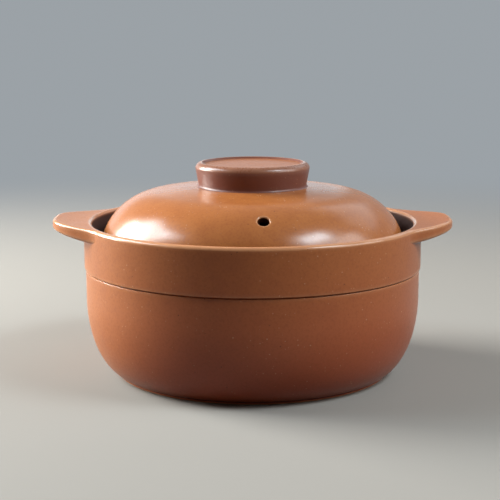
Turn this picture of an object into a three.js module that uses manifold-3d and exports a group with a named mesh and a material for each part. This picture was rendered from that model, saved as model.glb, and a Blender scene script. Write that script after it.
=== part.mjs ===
// A lidded stoneware casserole: a thrown pot with a gallery inside its rim, two ears luted to the rim,
// and a domed lid with a steam vent and a flared knob. Millimetres, +Z up, and the front is -Y.
// The origin is the middle of the foot ring, on the surface that the pot stands on.

import * as THREE from 'three';
import { mergeVertices } from 'three/addons/utils/BufferGeometryUtils.js';
import Module from 'manifold-3d';

// Pot: rim and wall
const RIM_RADIUS = 106;
const POT_HEIGHT = 96.3;
const RIM_WALL = 5;
const RIM_ROUND = 2.2;
const WALL = 6;
const BAND_HEIGHT = 28.4; // from the lip down to the scored line
const BAND_STEP = 0.9; // how far the band stands out from the wall below it
const SCORE_WIDTH = 1.2;
const SCORE_DEPTH = 0.7;
const STRAIGHT_WALL = 18.9; // from the scored line down to where the belly starts to curve in
const BELLY_DEPTH = 25; // how far in the belly would curve if it ran on to the ground

// Pot: foot and floor
const FOOT_HEIGHT = 2.4;
const FOOT_INSET = 1.6; // the turned step between the belly and the foot ring
const FOOT_WIDTH = 8;
const FOOT_BEVEL = 0.8;
const FOOT_RECESS = 3;
const FLOOR = 6.5;

// Pot: the gallery that the lid rests in
const GALLERY_DEPTH = 11.8;
const GALLERY_TAPER = 3;
const GALLERY_FILLET = 1.5;
const LEDGE_WIDTH = 6.5;
const LEDGE_ROUND = 1.5;
const LEDGE_BLEND = 16; // height over which the ledge thins back to the wall

// Ears
const EAR_REACH = 19.2;
const EAR_LIFT = 1.9; // the tip stands this much above the rim
const EAR_ROOT_THICK = 9;
const EAR_TIP_THICK = 6.2;
const EAR_TOP_ROUND = 2.2;
const EAR_UNDER_ROUND = 2.6;
const EAR_TIP_TURN = 4.6; // degrees each side of the middle that the tip stays at full reach
const EAR_ROOT_TURN = 31; // degrees each side of the middle where the fairing curve ends
const EAR_SINK = 1.7; // how far inside the wall the fairing curve ends

// Lid
const LID_CLEARANCE = 3.3; // round the lid's edge, in the gallery
const LID_RISE = 33.9; // from the seat to the crown
const LID_WALL = 5;
const LID_EDGE_ROUND = 1.8;
const CROWN_RADIUS = 450;
const SHOULDER_LEAN = 72.6; // degrees from flat at the lid's edge
const VENT_RADIUS = 2.9;
const VENT_FLARE = 0.5;
const VENT_INSET = 15.2; // from the lid's edge, seen from above
const VENT_TURN = 4.4; // degrees from the front towards +X

// Knob
const KNOB_RADIUS = 35.9;
const KNOB_HEIGHT = 13.9; // above the crown
const KNOB_FLARE = 1.9;
const KNOB_ROUND = 3;
const KNOB_LIP = 3.4;
const KNOB_RECESS = 1.4;
const KNOB_FILLET = 1.6;
const KNOB_SKIRT_END = 250; // the fillet's arc stops short of 270 degrees, so its edge is not a knife edge

// Fits
const SLIP = 0.3; // the layer of slip under a luted piece
const SEAT_GAP = 0.3; // grit and glaze between the lid and its ledge

// Facets
const TURN_STEPS = 64; // round the pot and the lid
const KNOB_STEPS = 48;
const EAR_STEPS = 120; // for a whole turn, of which an ear takes a part
const VENT_STEPS = 20;
const CURVE_STEPS = 8; // along a belly or a shoulder
const CROWN_STEPS = 4;
const EDGE_STEPS = 4; // over a rounded edge
const FINE_STEPS = 2; // over the smallest edges

// Glaze
const GLAZE = { color: 0x9c5c36, roughness: 0.4, metalness: 0 };
const KNOB_GLAZE = { color: 0x8a4f33, roughness: 0.3, metalness: 0 };

const radians = THREE.MathUtils.degToRad;
const wasm = await Module();
wasm.setup();

// Points of a round or elliptical stretch of a profile. Angles are in degrees: 0 is outwards, 90 is up.
function arc(radius, z, across, up, from, to, steps) {
  const points = [];
  for (let i = 0; i <= steps; i += 1) {
    const angle = radians(from + (to - from) * i / steps);
    points.push(new THREE.Vector2(radius + across * Math.cos(angle), z + up * Math.sin(angle)));
  }
  return points;
}

function roundEdge(radius, z, size, from, to, steps = EDGE_STEPS) {
  return arc(radius, z, size, size, from, to, steps);
}

const at = (radius, z) => new THREE.Vector2(radius, z);

// A profile of (radius, height) points turned about the pot's upright axis.
function turned(profile, steps) {
  return new THREE.LatheGeometry(profile, steps).rotateX(Math.PI / 2);
}

function solidOf(geometry) {
  const bare = geometry.clone();
  bare.deleteAttribute('normal');
  bare.deleteAttribute('uv');
  const merged = mergeVertices(bare);
  return new wasm.Manifold(new wasm.Mesh({
    numProp: 3,
    vertProperties: merged.attributes.position.array,
    triVerts: new Uint32Array(merged.index.array),
  }));
}

function geometryOf(solid) {
  const mesh = solid.getMesh();
  const geometry = new THREE.BufferGeometry();
  geometry.setAttribute('position', new THREE.BufferAttribute(mesh.vertProperties, 3));
  geometry.setIndex(new THREE.BufferAttribute(mesh.triVerts, 1));
  geometry.computeVertexNormals();
  return geometry;
}

function piece(name, geometry, glaze) {
  const mesh = new THREE.Mesh(geometry, new THREE.MeshStandardMaterial(glaze));
  mesh.name = name;
  return mesh;
}

// Heights and radii that several pieces share
const scoreZ = POT_HEIGHT - BAND_HEIGHT;
const bellyZ = scoreZ - STRAIGHT_WALL;
const wallRadius = RIM_RADIUS - BAND_STEP;
const mouthRadius = RIM_RADIUS - RIM_WALL;
const galleryRadius = mouthRadius - GALLERY_TAPER;
const throatRadius = galleryRadius - LEDGE_WIDTH;
const ledgeZ = POT_HEIGHT - GALLERY_DEPTH;
const lidRadius = galleryRadius - LID_CLEARANCE;

// The pot's profile runs from the middle of the underside, out and up the wall, over the lip, and down
// the inside by way of the gallery to the middle of the floor.
function potBody() {
  const innerRadius = wallRadius - WALL;
  const bellyCentre = wallRadius - BELLY_DEPTH;
  const floorZ = FOOT_RECESS + FLOOR;
  const bellyStart = THREE.MathUtils.radToDeg(Math.asin(FOOT_HEIGHT / bellyZ - 1));
  const belly = arc(bellyCentre, bellyZ, BELLY_DEPTH, bellyZ, bellyStart, 0, CURVE_STEPS);
  const footRadius = belly[0].x - FOOT_INSET;
  return turned([
    at(0, FOOT_RECESS),
    at(footRadius - FOOT_WIDTH - FOOT_BEVEL, FOOT_RECESS),
    at(footRadius - FOOT_WIDTH, 0),
    at(footRadius - FOOT_BEVEL, 0),
    at(footRadius, FOOT_BEVEL),
    at(footRadius, FOOT_HEIGHT),
    ...belly,
    at(wallRadius, scoreZ - SCORE_WIDTH),
    at(wallRadius - SCORE_DEPTH, scoreZ - SCORE_WIDTH / 2),
    at(RIM_RADIUS, scoreZ),
    ...roundEdge(RIM_RADIUS - RIM_ROUND, POT_HEIGHT - RIM_ROUND, RIM_ROUND, 0, 90),
    ...roundEdge(mouthRadius + RIM_ROUND, POT_HEIGHT - RIM_ROUND, RIM_ROUND, 90, 180),
    at(galleryRadius, ledgeZ + GALLERY_FILLET),
    at(galleryRadius - GALLERY_FILLET, ledgeZ),
    ...roundEdge(throatRadius + LEDGE_ROUND, ledgeZ - LEDGE_ROUND, LEDGE_ROUND, 90, 180, FINE_STEPS),
    at(innerRadius, ledgeZ - LEDGE_BLEND),
    ...arc(bellyCentre, bellyZ, BELLY_DEPTH - WALL, bellyZ - floorZ, 0, -90, CURVE_STEPS),
    at(0, floorZ),
  ], TURN_STEPS);
}

// How far from the axis an ear's edge lies: full reach at the tip, faired into the rim on both sides.
function earTip(turn) {
  const fall = THREE.MathUtils.smoothstep(Math.abs(turn), EAR_TIP_TURN, EAR_ROOT_TURN);
  return RIM_RADIUS + EAR_REACH - (EAR_REACH + EAR_SINK) * fall;
}

// An ear cut through along a radius: flat on top, thinner towards the tip, with rounded edges.
function earSection(tip) {
  const out = (tip - RIM_RADIUS) / EAR_REACH;
  const top = POT_HEIGHT + EAR_LIFT * out;
  const under = top - THREE.MathUtils.lerp(EAR_ROOT_THICK, EAR_TIP_THICK, out);
  const root = RIM_RADIUS - RIM_WALL;
  const rootUnder = POT_HEIGHT - EAR_ROOT_THICK;
  return [
    at(root, rootUnder),
    ...roundEdge(tip - EAR_UNDER_ROUND, under + EAR_UNDER_ROUND, EAR_UNDER_ROUND, -90, 0),
    ...roundEdge(tip - EAR_TOP_ROUND, top - EAR_TOP_ROUND, EAR_TOP_ROUND, 0, 90),
    at(root, POT_HEIGHT),
    at(root, rootUnder),
  ];
}

// A brim carried right round the rim, drawn out at +X alone. The pot's own outside, with room for
// slip, then cuts away all of it but the ear.
function ear() {
  const brim = new THREE.LatheGeometry(earSection(RIM_RADIUS), EAR_STEPS);
  const places = brim.attributes.position;
  const perSection = places.count / (EAR_STEPS + 1);
  for (let step = 0; step <= EAR_STEPS; step += 1) {
    const turn = 360 * step / EAR_STEPS - 180;
    const angle = radians(turn + 90);
    earSection(earTip(turn)).forEach(({ x, y }, i) => {
      places.setXYZ(step * perSection + i, x * Math.sin(angle), y, x * Math.cos(angle));
    });
  }
  const wall = turned([
    at(0, 0),
    at(RIM_RADIUS + SLIP, 0),
    ...roundEdge(RIM_RADIUS - RIM_ROUND, POT_HEIGHT - RIM_ROUND, RIM_ROUND + SLIP, 0, 90),
    at(0, POT_HEIGHT + SLIP),
  ], TURN_STEPS);
  return geometryOf(solidOf(brim.rotateX(Math.PI / 2)).subtract(solidOf(wall)));
}

// The dome's outside is two arcs that run into each other: a flat crown about a centre on the axis, and
// a shoulder that ends at the lid's edge with the stated lean. The shoulder's radius follows from that.
// Heights are above the lid's seat.
function domeArcs() {
  const lean = radians(SHOULDER_LEAN);
  const crownZ = LID_RISE - CROWN_RADIUS;
  const edgeUp = LID_EDGE_ROUND - crownZ;
  const shoulder = (lidRadius ** 2 + edgeUp ** 2 - CROWN_RADIUS ** 2)
    / (2 * (lidRadius * Math.sin(lean) + edgeUp * Math.cos(lean) - CROWN_RADIUS));
  const centre = at(lidRadius - shoulder * Math.sin(lean), LID_EDGE_ROUND - shoulder * Math.cos(lean));
  const meet = THREE.MathUtils.radToDeg(Math.atan2(centre.x, centre.y - crownZ));
  return { crownZ, shoulder, centre, meet };
}

const dome = domeArcs();

// The vent is drilled square to the dome, with its outer edge eased.
function ventCutter() {
  const reach = lidRadius - VENT_INSET;
  const lean = Math.asin((reach - dome.centre.x) / dome.shoulder);
  const depth = 2 * LID_WALL;
  const cutter = turned([
    at(0, -depth),
    at(VENT_RADIUS, -depth),
    ...roundEdge(VENT_RADIUS + VENT_FLARE, -VENT_FLARE, VENT_FLARE, 180, 90, FINE_STEPS),
    at(VENT_RADIUS + VENT_FLARE, depth),
    at(0, depth),
  ], VENT_STEPS);
  cutter.rotateX(lean);
  cutter.translate(0, -reach, dome.centre.y + dome.shoulder * Math.cos(lean));
  return cutter.rotateZ(radians(VENT_TURN));
}

function lidDome() {
  const { crownZ, shoulder, centre, meet } = dome;
  const inShoulder = shoulder - LID_WALL;
  const inCrown = CROWN_RADIUS - LID_WALL;
  const edge = 90 - SHOULDER_LEAN;
  const join = 90 - meet;
  const innerShoulder = arc(centre.x, centre.y, inShoulder, inShoulder, join, edge, CURVE_STEPS);
  const outerEdge = roundEdge(lidRadius - LID_EDGE_ROUND, LID_EDGE_ROUND, LID_EDGE_ROUND, -90, 0);
  const shell = turned([
    ...arc(0, crownZ, inCrown, inCrown, 90, join, CROWN_STEPS).slice(0, -1),
    ...innerShoulder,
    at(innerShoulder.at(-1).x, 0),
    ...outerEdge.slice(0, -1),
    ...arc(centre.x, centre.y, shoulder, shoulder, edge, join, CURVE_STEPS),
    ...arc(0, crownZ, CROWN_RADIUS, CROWN_RADIUS, join, 90, CROWN_STEPS).slice(1),
  ], TURN_STEPS);
  return geometryOf(solidOf(shell).subtract(solidOf(ventCutter())));
}

// The knob's underside follows the crown, and its side flares up to a rounded lip round a shallow dish.
function lidKnob() {
  const bed = CROWN_RADIUS + SLIP;
  const footRadius = KNOB_RADIUS - KNOB_FLARE;
  const skirtTurn = THREE.MathUtils.radToDeg(Math.asin((footRadius + KNOB_FILLET) / bed));
  const underside = arc(0, dome.crownZ, bed, bed, 90, 90 - skirtTurn, CROWN_STEPS);
  const footZ = underside.at(-1).y;
  const topZ = LID_RISE + KNOB_HEIGHT;
  const lipRadius = KNOB_RADIUS - KNOB_LIP;
  return turned([
    ...underside,
    ...roundEdge(footRadius + KNOB_FILLET, footZ + KNOB_FILLET, KNOB_FILLET, KNOB_SKIRT_END, 180),
    ...roundEdge(KNOB_RADIUS - KNOB_ROUND, topZ - KNOB_ROUND, KNOB_ROUND, 0, 90),
    ...roundEdge(lipRadius, topZ - KNOB_RECESS, KNOB_RECESS, 90, 180),
    at(0, topZ - KNOB_RECESS),
  ], KNOB_STEPS);
}

const pot = new THREE.Group();
const earShape = ear();
const leftEar = piece('ear_left', earShape, GLAZE);
leftEar.rotation.z = Math.PI;
pot.add(piece('pot_body', potBody(), GLAZE), leftEar, piece('ear_right', earShape, GLAZE));

const lid = new THREE.Group();
lid.position.z = ledgeZ + SEAT_GAP;
lid.add(piece('lid_dome', lidDome(), GLAZE), piece('lid_knob', lidKnob(), KNOB_GLAZE));

const casserole = new THREE.Group();
casserole.add(pot, lid);

export default casserole;
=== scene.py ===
# A lidded stoneware casserole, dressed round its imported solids: a brown-glazed pot with a scored band,
# two ears at its rim, and a domed lid with a steam vent and a flared knob. Metres, +Z up, front at -Y.
from math import asin, atan2, cos, degrees, hypot, pi, radians, sin, sqrt

import bmesh
import bpy
from mathutils import Matrix, Vector


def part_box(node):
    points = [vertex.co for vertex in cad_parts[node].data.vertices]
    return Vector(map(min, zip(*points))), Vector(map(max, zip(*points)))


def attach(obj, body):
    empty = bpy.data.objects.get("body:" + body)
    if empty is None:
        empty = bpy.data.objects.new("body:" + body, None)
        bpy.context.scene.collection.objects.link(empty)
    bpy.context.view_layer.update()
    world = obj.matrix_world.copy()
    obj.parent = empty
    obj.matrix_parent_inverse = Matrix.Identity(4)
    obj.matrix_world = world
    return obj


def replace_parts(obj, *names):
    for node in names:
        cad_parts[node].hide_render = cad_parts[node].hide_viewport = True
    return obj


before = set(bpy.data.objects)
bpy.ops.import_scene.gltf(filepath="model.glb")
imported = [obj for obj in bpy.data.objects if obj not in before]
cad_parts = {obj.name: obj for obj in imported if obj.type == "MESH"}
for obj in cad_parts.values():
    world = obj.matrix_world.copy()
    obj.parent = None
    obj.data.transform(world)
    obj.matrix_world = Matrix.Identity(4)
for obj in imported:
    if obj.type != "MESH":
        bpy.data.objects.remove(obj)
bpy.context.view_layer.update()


# Pot body: one stoneware bowl, jiggered and then finished on the wheel, with a line scored round it below
# the rim band, a gallery inside the lip for the lid, and a foot ring turned on its underside. The brown
# glaze covers it inside and out, and is wiped off where the pot stands and where the lid is fired on it.
POT_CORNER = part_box("pot_body")[1]
RIM_RADIUS = POT_CORNER.x
POT_HEIGHT = POT_CORNER.z
RIM_WALL = 0.005
RIM_ROUND = 0.0022
BAND_HEIGHT = 0.0284
BAND_STEP = 0.0009
BAND_EASE = 0.0004
SCORE_WIDTH = 0.0012
SCORE_DEPTH = 0.0007
SCORE_ROOT = 0.85  # the deepest point of the line, as a share of its width
SCORE_EASE = 0.0002
SCORE_ROOT_EASE = 0.0001
STRAIGHT_WALL = 0.0189
BELLY_DEPTH = 0.025
WALL = 0.006
FOOT_HEIGHT = 0.0024
FOOT_INSET = 0.0016
FOOT_WIDTH = 0.008
FOOT_STEP = 0.8  # where the foot ring meets the belly, as a share of its height
FOOT_STEP_EASE = 0.0005
FOOT_OUTER_EASE = 0.0008
FOOT_INNER_EASE = 0.0006
FOOT_SLOPE = 0.0008
FOOT_RECESS = 0.003
RECESS_EASE = 0.0009
FLOOR_THICK = 0.0065
GALLERY_DEPTH = 0.0118
GALLERY_TAPER = 0.003
LEDGE_WIDTH = 0.0065
LEDGE_EASE = 0.0016
LEDGE_BLEND = 0.016
LEDGE_BLEND_EASE = 0.006
POT_STEPS = 192  # round the pot and the lid
BELLY_STEPS = 40
LIP_STEPS = 10

SCORE_Z = POT_HEIGHT - BAND_HEIGHT
BELLY_Z = SCORE_Z - STRAIGHT_WALL
WALL_RADIUS = RIM_RADIUS - BAND_STEP
BELLY_CENTRE = WALL_RADIUS - BELLY_DEPTH
MOUTH_RADIUS = RIM_RADIUS - RIM_WALL
GALLERY_RADIUS = MOUTH_RADIUS - GALLERY_TAPER
LEDGE_Z = POT_HEIGHT - GALLERY_DEPTH
INNER_FLOOR = FOOT_RECESS + FLOOR_THICK

PITCH = 0.0022  # a straight stretch of an outline is cut up this fine
EASE_STEPS = 5  # over an eased corner
NEAR = 1e-6  # points closer than this are one point


class Template:
    """The outline that a piece is turned to: a wire of (radius, height) points in the XZ plane."""

    def __init__(self):
        self.wire = bmesh.new()
        self.end = None
        self.corners = []

    def start(self, point):
        if self.end:
            self.wire.edges.new((self.end, point))
        self.end = point

    def to(self, radius, height, ease=0):
        """A straight line to a point. Ease rounds off the corner there, by that length each way."""
        self.start(self.wire.verts.new((radius, 0, height)))
        if ease:
            self.corners.append((self.end, ease))

    def swing(self, radius, height, size, start, stop, steps, stretch=1):
        """An arc about a centre. Angles are in degrees, 0 outwards and 90 up; stretch makes it taller."""
        centre = Vector((radius, 0, height))
        first = centre + size * Vector((cos(radians(start)), 0, sin(radians(start))))
        before = set(self.wire.verts)
        self.start(self.wire.verts.new(first))
        swung = bmesh.ops.spin(
            self.wire, geom=[self.end], cent=centre, axis=(0, -1, 0), dvec=(0, 0, 0),
            angle=radians(stop - start), steps=steps, use_duplicate=False)
        arc = [vert for vert in self.wire.verts if vert not in before]
        bmesh.ops.scale(self.wire, vec=(1, 1, stretch), space=Matrix.Translation(-centre), verts=arc)
        self.end = swung["geom_last"][0]

    def ready(self):
        """Eases the corners and cuts up the long lines, for turning."""
        for corner, ease in self.corners:
            bmesh.ops.bevel(
                self.wire, geom=[corner], offset=ease, offset_type="OFFSET", affect="VERTICES",
                segments=EASE_STEPS, profile=0.5, material=-1)
        for edge in self.wire.edges[:]:
            cuts = int(edge.calc_length() / PITCH)
            if cuts:
                bmesh.ops.subdivide_edges(self.wire, edges=[edge], cuts=cuts)
        bmesh.ops.remove_doubles(self.wire, verts=self.wire.verts, dist=NEAR)
        return self.wire

    def turned(self, steps):
        """The outline spun right round the pot's upright axis."""
        shape = self.ready()
        bmesh.ops.spin(
            shape, geom=shape.verts[:] + shape.edges[:], cent=(0, 0, 0), axis=(0, 0, 1), dvec=(0, 0, 0),
            angle=2 * pi, steps=steps, use_merge=True, use_duplicate=False)
        return shape


FULL_BREAK = 500  # a bend this tight, in radians a metre, bares the glaze fully
SPREAD = 3  # how many points the thinning spreads over
CORNER = radians(50)  # what bends more than this at one edge is a corner out of sight, not a rounded edge


def fired(shape, name):
    """Closes a shape and makes it an object. Each point keeps how the glaze lies there: "thin" is above 0
    over a rounded edge, where it runs off, and below 0 in a hollow, where it pools."""
    bmesh.ops.remove_doubles(shape, verts=shape.verts, dist=NEAR)
    bmesh.ops.recalc_face_normals(shape, faces=shape.faces)
    shape.verts.index_update()
    bend = [0.0] * len(shape.verts)
    for edge in shape.edges:
        angle = edge.calc_face_angle_signed(0)
        edge.smooth = abs(angle) < CORNER
        if not edge.smooth:
            continue
        across = sum(face.calc_area() for face in edge.link_faces) / 2 / edge.calc_length()
        tight = angle / across / FULL_BREAK
        for vert in edge.verts:
            bend[vert.index] = max(bend[vert.index], tight, key=abs)
    bend = [max(-1, min(1, value)) for value in bend]
    for _ in range(SPREAD):
        bend = [
            (bend[vert.index] + sum(bend[edge.other_vert(vert).index] for edge in vert.link_edges))
            / (1 + len(vert.link_edges)) for vert in shape.verts]
    thin = shape.verts.layers.float.new("thin")
    for vert in shape.verts:
        vert[thin] = bend[vert.index]
    for face in shape.faces:
        face.smooth = True
    mesh = bpy.data.meshes.new(name)
    shape.to_mesh(mesh)
    shape.free()
    piece = bpy.data.objects.new(name, mesh)
    bpy.context.scene.collection.objects.link(piece)
    return piece


outline = Template()
foot_angle = degrees(asin(FOOT_HEIGHT / BELLY_Z - 1))
foot_radius = BELLY_CENTRE + BELLY_DEPTH * cos(radians(foot_angle)) - FOOT_INSET
outline.to(0, FOOT_RECESS)
outline.to(foot_radius - FOOT_WIDTH - FOOT_SLOPE, FOOT_RECESS, RECESS_EASE)
outline.to(foot_radius - FOOT_WIDTH, 0, FOOT_INNER_EASE)
outline.to(foot_radius, 0, FOOT_OUTER_EASE)
outline.to(foot_radius, FOOT_HEIGHT * FOOT_STEP, FOOT_STEP_EASE)
outline.swing(BELLY_CENTRE, BELLY_Z, BELLY_DEPTH, foot_angle, 0, BELLY_STEPS, BELLY_Z / BELLY_DEPTH)
outline.to(WALL_RADIUS, SCORE_Z - SCORE_WIDTH, SCORE_EASE)
outline.to(WALL_RADIUS - SCORE_DEPTH, SCORE_Z - SCORE_WIDTH * SCORE_ROOT, SCORE_ROOT_EASE)
outline.to(RIM_RADIUS, SCORE_Z, BAND_EASE)
outline.swing(RIM_RADIUS - RIM_ROUND, POT_HEIGHT - RIM_ROUND, RIM_ROUND, 0, 90, LIP_STEPS)
outline.swing(MOUTH_RADIUS + RIM_ROUND, POT_HEIGHT - RIM_ROUND, RIM_ROUND, 90, 180, LIP_STEPS)
outline.to(GALLERY_RADIUS, LEDGE_Z, LEDGE_EASE)
outline.to(GALLERY_RADIUS - LEDGE_WIDTH, LEDGE_Z, LEDGE_EASE)
outline.to(WALL_RADIUS - WALL, LEDGE_Z - LEDGE_BLEND, LEDGE_BLEND_EASE)
outline.swing(
    BELLY_CENTRE, BELLY_Z, BELLY_DEPTH - WALL, 0, -90, BELLY_STEPS,
    (BELLY_Z - INNER_FLOOR) / (BELLY_DEPTH - WALL))
outline.to(0, INNER_FLOOR)
pot_body = fired(outline.turned(POT_STEPS), "casserole_pot")


class Shade:
    """A value that changes over a glaze. Arithmetic on it adds Math nodes, and add() any other node."""

    def __init__(self, socket):
        self.socket = socket

    def add(self, kind, settings, sockets, output=0):
        tree = self.socket.id_data
        node = tree.nodes.new("ShaderNode" + kind)
        for name, value in settings.items():
            setattr(node, name, value)
        for name, value in sockets.items():
            if isinstance(value, Shade):
                tree.links.new(value.socket, node.inputs[name])
            else:
                node.inputs[name].default_value = value
        return Shade(node.outputs[output])

    def math(self, operation, first, second):
        return self.add("Math", {"operation": operation}, {0: first, 1: second})

    def __add__(self, other):
        return self.math("ADD", self, other)

    def __sub__(self, other):
        return self.math("SUBTRACT", self, other)

    def __rsub__(self, other):
        return self.math("SUBTRACT", other, self)

    def __mul__(self, other):
        return self.math("MULTIPLY", self, other)

    __radd__ = __add__
    __rmul__ = __mul__

    def ramp(self, low, high, start=0, stop=1):
        """Runs smoothly from start to stop as this value goes from low to high."""
        return self.add(
            "MapRange", {"interpolation_type": "SMOOTHSTEP"},
            {"Value": self, "From Min": low, "From Max": high, "To Min": start, "To Max": stop})

    def blend(self, under, over):
        """Lays one colour over another by this value."""
        return self.add("Mix", {"data_type": "RGBA"}, {0: self, 6: under, 7: over}, output=2)


GLAZE = (0.355, 0.116, 0.031, 1)
GLAZE_WARM = (0.395, 0.138, 0.038, 1)
GLAZE_DEEP = (0.225, 0.062, 0.021, 1)
# a redder, darker tone painted as shade, towards the foot and away from the lit left side
GLAZE_SHADED_RED = (0.335, 0.078, 0.034, 1)
GLAZE_BROKEN = (0.580, 0.290, 0.145, 1)
# dark glaze pooled in hollows, and painted shade over the gallery inside the lip
GLAZE_POOLED_AND_SHADE = (0.024, 0.009, 0.007, 1)
PALE_SPECK = (0.60, 0.38, 0.23, 1)
IRON_SPECK = (0.075, 0.028, 0.016, 1)
BARE_CLAY = (0.40, 0.225, 0.135, 1)
BARE_GRIT = (0.29, 0.155, 0.090, 1)
DIPPED = (0.115, 0.034, 0.028, 1)

# How much of each tone shows, at most.
WARM_SHARE = 0.40
DEEP_SHARE = 0.20
GRAIN_SHARE = 0.34
HOLLOW_SHARE = 0.62
CREASE_SHARE = 0.25
PALE_SHARE = 0.40
IRON_SHARE = 0.6
SHADED_RED_TOP, SHADED_RED_LEFT = 0.2, 0.15  # how much of the painted shade's red is left at the rim, and on the lit left side

# Clouds in the glaze, in cells a metre, and specks: cells a metre, size and share of the cells.
DRIFT, MOTTLE, GRAIN, GRIT = 24, 130, 700, 1500
WAVES = 48
WAVER, WAVER_HEIGHT = 90, 0.0012  # of the wiped edge
PALE_SPECKS = (260, 0.00055, 0.10)
FINE_SPECKS = (560, 0.00045, 0.30)
IRON_SPECKS = (330, 0.0005, 0.12)

# What changes the gloss, and how high the surface waves, in millimetres.
MOTTLE_ROUGH, GRAIN_ROUGH, EDGE_GLOSS = 0.10, 0.12, 0.14
CLAY_ROUGH, GALLERY_SHADE_ROUGH = 0.45, 0.55
WAVE_LIFT, GRAIN_LIFT, GRIT_LIFT, PIT = 0.07, 0.026, 0.006, 0.02
GLAZE_IOR = 1.42


def glazed(piece, name, bare, gallery_shade=None, shaded_red=False, dip=None, edge=0.55, settle=1, roughness=0.24):
    """Brown iron glaze, fired satin. bare(radius, height) marks where it was wiped off the clay. The mask
    after it is painted shade: it colours the gallery inside the lip near-black and matt, where the gap round
    the lid lies in shadow. The switch after that is painted shade too: it reddens and darkens the glaze
    towards the foot and away from the lit left side. dip marks a second, darker dip over it. It breaks pale
    over edges by the share in edge, and settles dark in hollows by the share in settle."""
    material = bpy.data.materials.new(name)
    material.use_nodes = True
    tree = material.node_tree
    surface = tree.nodes["Principled BSDF"]
    place = Shade(tree.nodes.new("ShaderNodeTexCoord").outputs["Object"])
    thin = place.add("Attribute", {"attribute_name": "thin"}, {}, output=2)
    across = place.add("SeparateXYZ", {}, {0: place})
    height = place.add("SeparateXYZ", {}, {0: place}, output=2)
    flat = place.add("VectorMath", {"operation": "MULTIPLY"}, {0: place, 1: (1, 1, 0)})
    radius = place.add("VectorMath", {"operation": "LENGTH"}, {0: flat}, output=1)

    def cloud(scale, detail=2.0):
        return place.add("TexNoise", {}, {"Vector": place, "Scale": scale, "Detail": detail})

    def specks(scale, size, share):
        """Round specks of about that size, in that share of the cells of a scatter."""
        scatter = {"Vector": place, "Scale": scale}
        near = place.add("TexVoronoi", {}, scatter)
        pick = place.add("TexVoronoi", {}, scatter, output=1)
        chance = place.add("SeparateColor", {}, {0: pick})
        rim = chance * (size * scale / share)
        soft = 0.25 * size * scale
        picked = chance.ramp(share * 0.98, share, 1, 0)
        return (near - rim).ramp(-soft, soft, 1, 0) * picked

    drift = cloud(DRIFT)
    mottle = cloud(MOTTLE, 4)
    grain = cloud(GRAIN)
    grit = cloud(GRIT)
    colour = ((drift + mottle).ramp(0.80, 1.25) * WARM_SHARE).blend(GLAZE, GLAZE_WARM)
    colour = ((2 - drift - mottle).ramp(0.95, 1.40) * DEEP_SHARE).blend(colour, GLAZE_DEEP)
    # painted shade: redder and darker towards the foot, and least on the left side, where the lamps light the
    # pot
    if shaded_red:
        shaded_side = across.ramp(-RIM_RADIUS, -0.35 * RIM_RADIUS, SHADED_RED_LEFT, 1)
        low = height.ramp(0.0, POT_HEIGHT * 1.1, 1, SHADED_RED_TOP)
        colour = (low * shaded_side).blend(colour, GLAZE_SHADED_RED)
    colour = (grain.ramp(0.42, 0.72) * GRAIN_SHARE).blend(colour, GLAZE_DEEP)
    if dip:
        colour = dip(radius, height).blend(colour, DIPPED)
    colour = (thin.ramp(0.15, 0.80) * (0.7 + 0.6 * mottle) * edge).blend(colour, GLAZE_BROKEN)
    hollow = thin.ramp(-0.10, -0.55, 0, HOLLOW_SHARE * settle)
    crease = thin.ramp(-0.70, -0.95, 0, CREASE_SHARE * settle)
    colour = (hollow + crease).blend(colour, GLAZE_POOLED_AND_SHADE)
    pale = specks(*PALE_SPECKS)
    fine = specks(*FINE_SPECKS) * (drift + mottle).ramp(0.85, 1.15)
    iron = specks(*IRON_SPECKS)
    colour = (pale * PALE_SHARE + fine * PALE_SHARE).blend(colour, PALE_SPECK)
    colour = (iron * IRON_SHARE).blend(colour, IRON_SPECK)
    # painted shade: the gallery inside the lip, which lies in shadow, is coloured near-black
    if gallery_shade:
        gallery_shaded = gallery_shade(radius, height)
        colour = gallery_shaded.blend(colour, GLAZE_POOLED_AND_SHADE)
    wiped = bare(radius, height + (cloud(WAVER) - 0.5) * WAVER_HEIGHT)
    clay = grit.blend(BARE_CLAY, BARE_GRIT)
    colour = wiped.blend(colour, clay)
    tree.links.new(colour.socket, surface.inputs["Base Color"])

    satin = roughness + (mottle - 0.5) * MOTTLE_ROUGH + (grain - 0.5) * GRAIN_ROUGH
    satin = satin - thin.ramp(0.1, 0.8) * EDGE_GLOSS + wiped * CLAY_ROUGH
    if gallery_shade:
        satin = satin + gallery_shaded * GALLERY_SHADE_ROUGH
    tree.links.new(satin.socket, surface.inputs["Roughness"])
    surface.inputs["IOR"].default_value = GLAZE_IOR

    waves = cloud(WAVES, 1) * WAVE_LIFT + grain * GRAIN_LIFT + grit * GRIT_LIFT
    pits = (pale + iron) * PIT
    lie = place.add("Bump", {}, {"Strength": 1.0, "Distance": 0.001, "Height": waves - pits})
    tree.links.new(lie.socket, surface.inputs["Normal"])
    piece.data.materials.append(material)


def pot_bare(radius, height):
    """The foot ring's flat, and the ledge of the gallery."""
    foot = height.ramp(0.0003, 0.0007, 1, 0)
    ledge = (height - LEDGE_Z).ramp(0.0, 0.0006, 1, 0) * (height - LEDGE_Z).ramp(-0.0012, -0.0004)
    seat = radius.ramp(GALLERY_RADIUS - LEDGE_WIDTH, GALLERY_RADIUS - LEDGE_WIDTH + 0.001)
    inside = radius.ramp(GALLERY_RADIUS + 0.0002, GALLERY_RADIUS + 0.0012, 1, 0)
    return foot + ledge * seat * inside


# how much of the painted shade covers the gallery
GALLERY_SHADE_SHARE = 0.97


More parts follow.
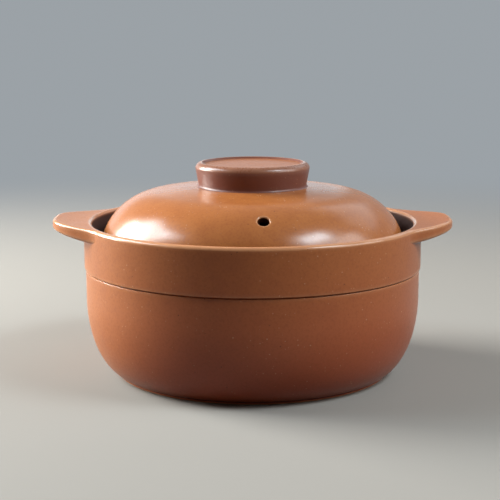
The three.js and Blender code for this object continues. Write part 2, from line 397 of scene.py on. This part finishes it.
def pot_gallery_shade(radius, height):
    """Painted shade: inside the lip, down to the ledge, where the gap round the lid lies in shadow."""
    wall = radius.ramp(MOUTH_RADIUS - 0.0002, MOUTH_RADIUS + 0.0006, 1, 0)
    return wall * height.ramp(LEDGE_Z - 0.001, LEDGE_Z) * GALLERY_SHADE_SHARE


POT_ROUGHNESS = 0.34
glazed(pot_body, "pot_glaze", pot_bare, pot_gallery_shade, shaded_red=True, roughness=POT_ROUGHNESS)
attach(pot_body, "pot")
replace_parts(pot_body, "pot_body")


# Ears: two lugs pressed from the same clay, luted to the wall under the lip with slip and faired into the
# rim by thumb while wet, so that their tops run on from the lip. They are glazed with the pot.
EAR_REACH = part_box("ear_right")[1].x - RIM_RADIUS
EAR_LIFT = 0.0019
EAR_ROOT_THICK = 0.009
EAR_TIP_THICK = 0.0062
EAR_TOP_ROUND = 0.0022
EAR_UNDER_ROUND = 0.0026
EAR_TIP_TURN = 5
EAR_ROOT_TURN = 28.5
EAR_SINK = 0.0001  # where its fairing ends, an ear lies this far inside the wall
EAR_SKIN = 0.000004  # over the lip it lies this far above the pot's own clay
LUTE = 0.0015  # the slip smoothed into the crease under an ear
LUTE_EASE = 0.9  # as a share of the lute
LUTE_BED = 0.0001  # how far its lower edge lies inside the wall
EAR_STEPS = 120
EAR_EDGE_STEPS = 10


def ear_reach(turn):
    """How far past the rim an ear goes at a turn in degrees from its middle."""
    share = max(0, min(1, (abs(turn) - EAR_TIP_TURN) / (EAR_ROOT_TURN - EAR_TIP_TURN)))
    return EAR_REACH - (EAR_REACH + EAR_SINK) * share * share * (3 - 2 * share)


def ear(name, facing):
    """Spins the ear's section about the pot, then draws each section out to its reach."""
    section = Template()
    root = RIM_RADIUS - RIM_ROUND
    tip = RIM_RADIUS + EAR_REACH
    top = POT_HEIGHT + EAR_SKIN
    under = POT_HEIGHT - EAR_ROOT_THICK
    inside = MOUTH_RADIUS + RIM_WALL / 3
    section.to(inside, under - LUTE)
    section.to(RIM_RADIUS - LUTE_BED, under - LUTE)
    section.to(RIM_RADIUS, under, LUTE * LUTE_EASE)
    section.swing(tip - EAR_UNDER_ROUND, under + EAR_UNDER_ROUND, EAR_UNDER_ROUND, -90, 0, EAR_EDGE_STEPS)
    section.swing(tip - EAR_TOP_ROUND, top - EAR_TOP_ROUND, EAR_TOP_ROUND, 0, 90, EAR_EDGE_STEPS)
    section.to(root, top)
    section.swing(
        MOUTH_RADIUS + RIM_ROUND, POT_HEIGHT - RIM_ROUND, RIM_ROUND + EAR_SKIN, 90, 180, EAR_EDGE_STEPS)
    section.to(inside, POT_HEIGHT - RIM_ROUND)
    section.to(inside, under - LUTE)
    shape = section.ready()
    half = radians(EAR_ROOT_TURN)
    bmesh.ops.rotate(
        shape, cent=(0, 0, 0), matrix=Matrix.Rotation(facing - half, 3, "Z"), verts=shape.verts)
    bmesh.ops.spin(
        shape, geom=shape.verts[:] + shape.edges[:], cent=(0, 0, 0), axis=(0, 0, 1), dvec=(0, 0, 0),
        angle=2 * half, steps=EAR_STEPS, use_duplicate=False)
    bmesh.ops.holes_fill(shape, edges=[edge for edge in shape.edges if edge.is_boundary], sides=0)
    for vert in shape.verts:
        radius = hypot(vert.co.x, vert.co.y)
        turn = (atan2(vert.co.y, vert.co.x) - facing + pi) % (2 * pi) - pi
        reach = ear_reach(degrees(turn))
        drawn = radius
        if radius > root:
            # the rounded edges keep their shape, and what lies behind them is drawn out with them
            behind = max(0, min(1, (radius - root) / (tip - EAR_UNDER_ROUND - root)))
            drawn = radius + (reach - EAR_REACH) * behind
        out = max(0, drawn - root) / (tip - root)
        up = (vert.co.z - under) / EAR_ROOT_THICK
        lift = EAR_LIFT * out * out
        thinning = (EAR_ROOT_THICK - EAR_TIP_THICK) * out * (1 - max(0, min(1, up)))
        vert.co.z += lift + thinning
        vert.co.x *= drawn / radius
        vert.co.y *= drawn / radius
    piece = fired(shape, name)
    glazed(piece, name + "_glaze", pot_bare, pot_gallery_shade, shaded_red=True, roughness=POT_ROUGHNESS)
    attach(piece, "pot")
    return piece


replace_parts(ear("casserole_ear_right", 0.0), "ear_right")
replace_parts(ear("casserole_ear_left", pi), "ear_left")


# Lid dome: a shell pressed over a mould, flat across its crown and rolled over at the shoulder, with a steam
# vent drilled square through it near the front edge. It is glazed all over but for the edge it rests on.
LID_LOW, LID_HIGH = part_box("lid_dome")
LID_RADIUS = LID_HIGH.x
LID_Z = LID_LOW.z
LID_RISE = LID_HIGH.z - LID_Z
LID_WALL = 0.005
LID_EDGE_ROUND = 0.0018
LID_INNER_EASE = 0.0008
CROWN_RADIUS = 0.450
CROWN_STEPS = 24
SHOULDER_LEAN = 72.6
SHOULDER_STEPS = 36
INNER_SHOULDER_STEPS = 30
LID_EDGE_STEPS = 8
VENT_RADIUS = 0.0035
VENT_FLARE = 0.0010
VENT_INSET = 0.0149
VENT_TURN = 4.4
VENT_STEPS = 48
VENT_FLARE_STEPS = 8

crown_z = LID_Z + LID_RISE - CROWN_RADIUS
lean = radians(SHOULDER_LEAN)
edge_z = LID_Z + LID_EDGE_ROUND
edge_up = edge_z - crown_z
shoulder = (LID_RADIUS ** 2 + edge_up ** 2 - CROWN_RADIUS ** 2) / (
    2 * (LID_RADIUS * sin(lean) + edge_up * cos(lean) - CROWN_RADIUS))
shoulder_r = LID_RADIUS - shoulder * sin(lean)
shoulder_z = edge_z - shoulder * cos(lean)
join = 90 - degrees(atan2(shoulder_r, shoulder_z - crown_z))
lid_edge = 90 - SHOULDER_LEAN
inner_shoulder = shoulder - LID_WALL
inner_edge = shoulder_r + inner_shoulder * cos(radians(lid_edge))

outline = Template()
outline.swing(0, crown_z, CROWN_RADIUS - LID_WALL, 90, join, CROWN_STEPS)
outline.swing(shoulder_r, shoulder_z, inner_shoulder, join, lid_edge, INNER_SHOULDER_STEPS)
outline.to(inner_edge, LID_Z, LID_INNER_EASE)
outline.swing(LID_RADIUS - LID_EDGE_ROUND, edge_z, LID_EDGE_ROUND, -90, 0, LID_EDGE_STEPS)
outline.swing(shoulder_r, shoulder_z, shoulder, lid_edge, join, SHOULDER_STEPS)
outline.swing(0, crown_z, CROWN_RADIUS, join, 90, CROWN_STEPS)
dome = outline.turned(POT_STEPS)
bmesh.ops.remove_doubles(dome, verts=dome.verts, dist=NEAR)
bmesh.ops.recalc_face_normals(dome, faces=dome.faces)

vent_reach = LID_RADIUS - VENT_INSET
vent_tilt = asin((vent_reach - shoulder_r) / shoulder)
vent_seat = (
    Matrix.Rotation(radians(VENT_TURN), 4, "Z")
    @ Matrix.Translation((0, -vent_reach, shoulder_z + shoulder * cos(vent_tilt)))
    @ Matrix.Rotation(vent_tilt, 4, "X"))


def drilled(shape):
    """Cuts the vent. The drill's flared mouth is bent to the dome, so that the eased edge runs round it."""
    drill = Template()
    drill.to(0, -2 * LID_WALL)
    drill.to(VENT_RADIUS, -2 * LID_WALL)
    drill.swing(VENT_RADIUS + VENT_FLARE, -VENT_FLARE, VENT_FLARE, 180, 90, VENT_FLARE_STEPS)
    drill.to(VENT_RADIUS + VENT_FLARE * 1.0001, LID_WALL)
    drill.to(0, LID_WALL)
    bit = drill.turned(VENT_STEPS)
    bmesh.ops.remove_doubles(bit, verts=bit.verts, dist=NEAR)
    round_dome = vent_reach / sin(vent_tilt)
    for vert in bit.verts:
        vert.co.z -= vert.co.x ** 2 / 2 / round_dome + vert.co.y ** 2 / 2 / shoulder
    bmesh.ops.recalc_face_normals(bit, faces=bit.faces)
    bmesh.ops.transform(bit, matrix=vent_seat, verts=bit.verts)
    pieces = []
    for cut, label in ((shape, "dome"), (bit, "drill")):
        mesh = bpy.data.meshes.new(label)
        cut.to_mesh(mesh)
        cut.free()
        pieces.append(bpy.data.objects.new(label, mesh))
        bpy.context.scene.collection.objects.link(pieces[-1])
    vent = pieces[0].modifiers.new("vent", "BOOLEAN")
    vent.object = pieces[1]
    vent.operation = "DIFFERENCE"
    vent.solver = "EXACT"
    result = bmesh.new()
    result.from_object(pieces[0], bpy.context.evaluated_depsgraph_get())
    for done in pieces:
        bpy.data.objects.remove(done)
    return result


lid_dome = fired(drilled(dome), "casserole_lid")
lies = lid_dome.data.attributes["thin"].data
for vert in lid_dome.data.vertices:
    # the vent's bore is marked as the deepest hollow, so the glaze colours it dark
    spot = vent_seat.inverted() @ vert.co
    if hypot(spot.x, spot.y) < VENT_RADIUS * 1.02 and -1.5 * LID_WALL < spot.z < -VENT_FLARE:
        lies[vert.index].value = -1


def lid_bare(radius, height):
    """The edge that the lid rests on."""
    return height.ramp(LID_Z + 0.0003, LID_Z + 0.0009, 1, 0)


glazed(lid_dome, "lid_glaze", lid_bare)
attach(lid_dome, "lid")
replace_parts(lid_dome, "lid_dome")


# Knob: a flared stoneware disc, turned by itself and luted to the crown with a bead of slip, which shows as
# a fillet. It is dipped once more, so it is darker. Its rounded lip, over which the glaze breaks pale, stands
# proud of a shallow dish that was sponged.
KNOB_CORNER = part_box("lid_knob")[1]
KNOB_RADIUS = KNOB_CORNER.x
KNOB_TOP = KNOB_CORNER.z
KNOB_FLARE = 0.0019
KNOB_ROUND = 0.0038
KNOB_ROUND_STEPS = 12
KNOB_LIP = 0.0055
KNOB_LIP_FLAT = 0.0002
KNOB_RECESS = 0.0014
KNOB_DISH_EASE = 0.0008
KNOB_FILLET = 0.0016
KNOB_FILLET_STEPS = 8
KNOB_BED = 0.0001  # how far its skirt sinks into the crown
KNOB_UNDER = 0.001  # how far its middle does
KNOB_STEPS = 160

foot = KNOB_RADIUS - KNOB_FLARE
bed_z = crown_z + sqrt(CROWN_RADIUS ** 2 - (foot + KNOB_FILLET) ** 2) - KNOB_BED
outline = Template()
outline.to(0, bed_z - KNOB_UNDER)
outline.to(foot, bed_z - KNOB_UNDER)
outline.swing(foot + KNOB_FILLET, bed_z + KNOB_FILLET, KNOB_FILLET, 268, 180, KNOB_FILLET_STEPS)
outline.swing(KNOB_RADIUS - KNOB_ROUND, KNOB_TOP - KNOB_ROUND, KNOB_ROUND, 5, 90, KNOB_ROUND_STEPS)
outline.to(KNOB_RADIUS - KNOB_ROUND - KNOB_LIP_FLAT, KNOB_TOP, KNOB_LIP_FLAT)
outline.to(KNOB_RADIUS - KNOB_LIP, KNOB_TOP - KNOB_RECESS, KNOB_DISH_EASE)
outline.to(0, KNOB_TOP - KNOB_RECESS)
lid_knob = fired(outline.turned(KNOB_STEPS), "casserole_knob")


def knob_bare(radius, height):
    """Only the underside, which is luted to the crown."""
    return height.ramp(bed_z - 0.0008, bed_z - 0.0004, 1, 0)


DIP_SHARE = 0.85
SPONGED_SHARE = 0.50


def knob_dip(radius, height):
    """The flank and the lip. The dish was sponged, and shows more of the first coat."""
    dish = KNOB_RADIUS - KNOB_LIP
    inside = radius.ramp(dish - 0.0004, dish + 0.0008, 1, 0)
    return DIP_SHARE - inside * height.ramp(KNOB_TOP - 0.003, KNOB_TOP - 0.002) * SPONGED_SHARE


glazed(lid_knob, "knob_glaze", knob_bare, dip=knob_dip, edge=0.32, settle=0.15, roughness=0.38)
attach(lid_knob, "lid")
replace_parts(lid_knob, "lid_knob")


# Studio: a wide pale floor that runs out into a grey backdrop. A large soft lamp stands low on the left, with
# cooler panes above it, and a smaller one on the right with its pane. Two faint ones stand behind, and a
# black flag at the front keeps the middle of the pot dark.
FLOOR_COLOUR = (0.265, 0.246, 0.222, 1)
BACKDROP = (0.33, 0.36, 0.385, 1)
DIM = (0.13, 0.082, 0.062, 1)  # what floor and backdrop throw back on the pot
FLAG_FELT = (0.03, 0.028, 0.026, 1)
MATT = 0.9  # roughness of paper and felt
FLOOR_RADIUS = 30
FLOOR_STEPS = 64
SWEEP_START, SWEEP_END = 0.28, 1.1  # where the floor runs out into the backdrop
FLAG_PLACE = (0, -1.3, 0.9)
FLAG_HALF = (1.6, 0.9)


def staged(shape, name):
    """Puts a flat shape in the studio, and gives it a new material."""
    mesh = bpy.data.meshes.new(name)
    shape.to_mesh(mesh)
    shape.free()
    sheet = bpy.data.objects.new(name, mesh)
    bpy.context.scene.collection.objects.link(sheet)
    material = bpy.data.materials.new(name)
    material.use_nodes = True
    mesh.materials.append(material)
    return sheet, material.node_tree


def seen(tree):
    """1 for what the camera sees, straight or in a glaze, and 0 for what only lights the pot."""
    path = tree.nodes.new("ShaderNodeLightPath")
    return (
        Shade(path.outputs["Is Camera Ray"]) + Shade(path.outputs["Is Glossy Ray"])
        + Shade(path.outputs["Is Transmission Ray"]))


ground = bmesh.new()
bmesh.ops.create_circle(ground, cap_ends=True, segments=FLOOR_STEPS, radius=FLOOR_RADIUS)
tree = staged(ground, "floor")[1]
paper = tree.nodes["Principled BSDF"]
paper.inputs["Roughness"].default_value = MATT
paper.inputs["Specular IOR Level"].default_value = 0.1
tree.links.new(seen(tree).blend(DIM, FLOOR_COLOUR).socket, paper.inputs["Base Color"])
spot = Shade(tree.nodes.new("ShaderNodeTexCoord").outputs["Object"])
away = spot.add("VectorMath", {"operation": "LENGTH"}, {0: spot}, output=1)
glow = spot.add("Emission", {}, {"Color": seen(tree).blend(DIM, BACKDROP)})
sweep = spot.add(
    "MixShader", {}, {0: away.ramp(SWEEP_START, SWEEP_END), 1: Shade(paper.outputs[0]), 2: glow})
tree.links.new(sweep.socket, tree.nodes["Material Output"].inputs["Surface"])

card = bmesh.new()
bmesh.ops.create_grid(card, x_segments=1, y_segments=1, size=1)
upright = Matrix.Translation(FLAG_PLACE) @ Matrix.Rotation(pi / 2, 4, "X")
bmesh.ops.transform(card, verts=card.verts, matrix=upright @ Matrix.Diagonal((*FLAG_HALF, 1, 1)))
flag, tree = staged(card, "black_flag")
felt = tree.nodes["Principled BSDF"]
felt.inputs["Base Color"].default_value = FLAG_FELT
felt.inputs["Roughness"].default_value = MATT
flag.visible_camera = False

world = bpy.data.worlds.new("backdrop")
world.use_nodes = True
tree = world.node_tree
tree.links.new(seen(tree).blend(DIM, BACKDROP).socket, tree.nodes["Background"].inputs["Color"])
bpy.context.scene.world = world

DAYLIGHT = (1.0, 0.975, 0.92)
PANE = (0.78, 0.92, 1.0)  # the cooler light through a pane of frosted glass
AIM = Vector((0, 0, 0.08))


def lamp(name, azimuth, elevation, distance, width, tall, watts, colour=(1, 1, 1)):
    """A soft box aimed at the pot. Azimuth is from the front towards +X, in degrees."""
    light = bpy.data.lights.new(name, "AREA")
    light.shape = "RECTANGLE"
    light.size = width
    light.size_y = tall
    light.energy = watts
    light.color = colour
    holder = bpy.data.objects.new(name, light)
    turn, rise = radians(azimuth), radians(elevation)
    out = Vector((sin(turn) * cos(rise), -cos(turn) * cos(rise), sin(rise)))
    holder.location = AIM + out * distance
    holder.rotation_euler = out.to_track_quat("Z", "Y").to_euler()
    bpy.context.scene.collection.objects.link(holder)


lamp("key_box", -112, 18, 1.3, 0.70, 0.66, 43, DAYLIGHT)
lamp("key_pane", -103, 39, 1.3, 0.75, 0.34, 15, PANE)
lamp("front_pane", -82, 44, 1.3, 0.35, 0.20, 2.5, PANE)
lamp("side_box", 78, 30, 1.3, 0.90, 0.50, 9.5)
lamp("side_pane", 63, 49, 1.3, 0.46, 0.26, 11, PANE)
lamp("back_box", 138, 36, 1.5, 1.0, 0.6, 2.4, PANE)
lamp("back_pane", -166, 9, 1.5, 1.2, 0.30, 1.1, PANE)

SENSOR = 36
LENS = 2.638  # focal length, in sensor widths
CAMERA_PLACE = (-0.0016, -0.825, 0.223)
CAMERA_DIP = 10.08  # degrees below level

lens = bpy.data.cameras.new("camera")
lens.sensor_width = SENSOR
lens.lens = LENS * SENSOR
camera = bpy.data.objects.new("camera", lens)
camera.location = CAMERA_PLACE
camera.rotation_euler = (radians(90 - CAMERA_DIP), 0, 0)
bpy.context.scene.collection.objects.link(camera)
bpy.context.scene.camera = camera
bpy.context.scene.view_settings.view_transform = "Standard"
